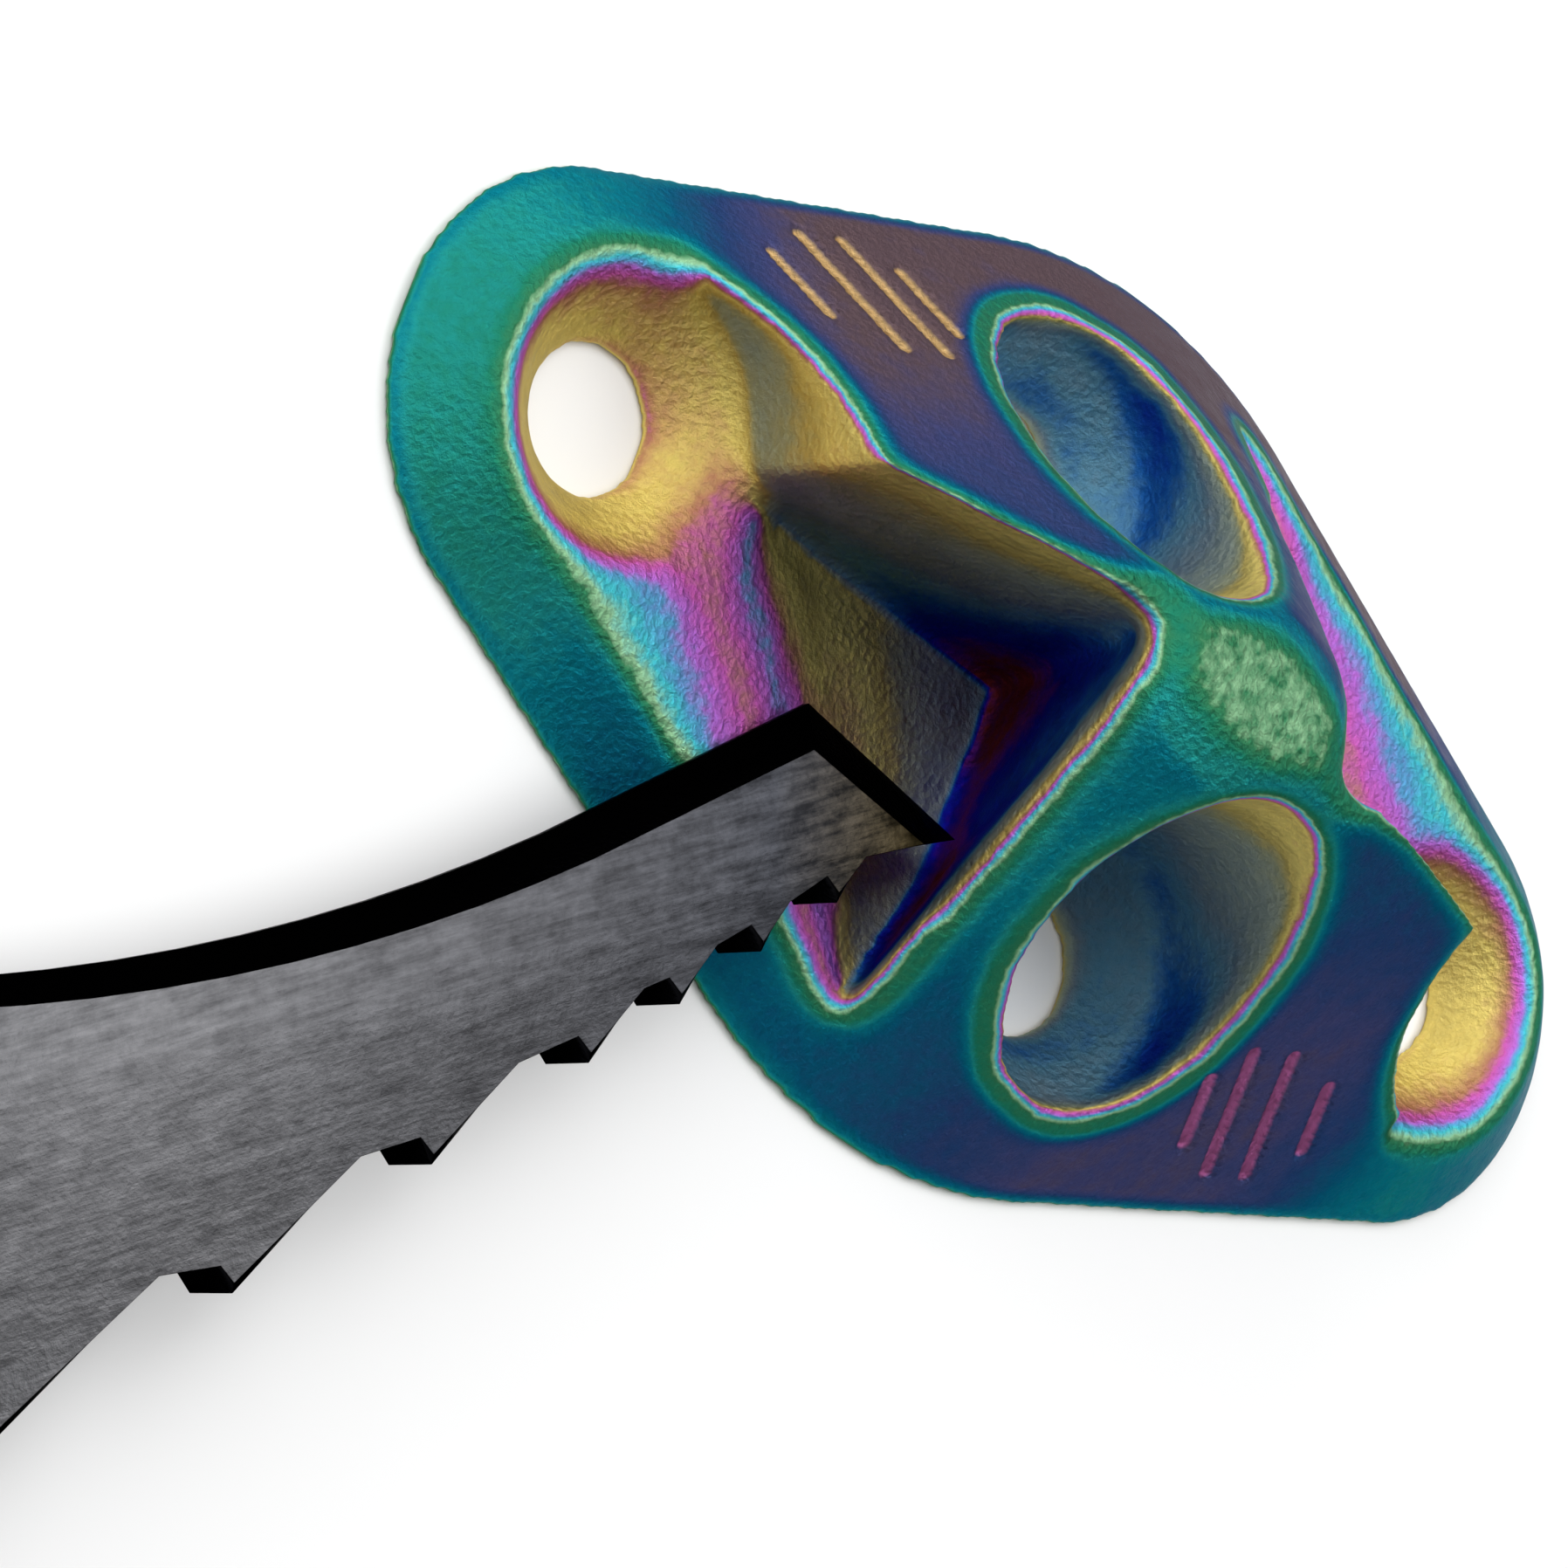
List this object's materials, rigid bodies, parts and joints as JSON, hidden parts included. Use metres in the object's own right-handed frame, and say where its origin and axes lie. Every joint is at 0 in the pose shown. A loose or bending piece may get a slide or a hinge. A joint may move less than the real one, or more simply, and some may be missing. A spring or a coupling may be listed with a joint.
{
  "type": "climbing hold",
  "caption": "Cast metal hold for ice tool practice, with roof-like flanks, undercut pockets and seated screw holes, and a toothed steel pick lying in a pocket.",
  "frame": {"origin": "centre of the hold's flat back, on the face that meets the wall", "axes": "+Z away from the wall, out of the hold; +X along the long axis, towards the end hole beside the pick; +Y towards the side that the pick comes out of"},
  "size_m": [0.1444, 0.1242, 0.0182],
  "materials": {
    "casting": "rainbow PVD film over a fine investment-cast texture",
    "pick": "ground dark grey side, gloss black bevels"
  },
  "bodies": {
    "hold": {"hold_casting": "casting"},
    "pick": {"tool_pick": "pick"}
  },
  "joints": [
    {"name": "pick_slide", "type": "slide", "parent": "hold", "child": "pick", "axis": [0.6673, 0.7448, 0], "range_m": [0, 0.02]}
  ]
}
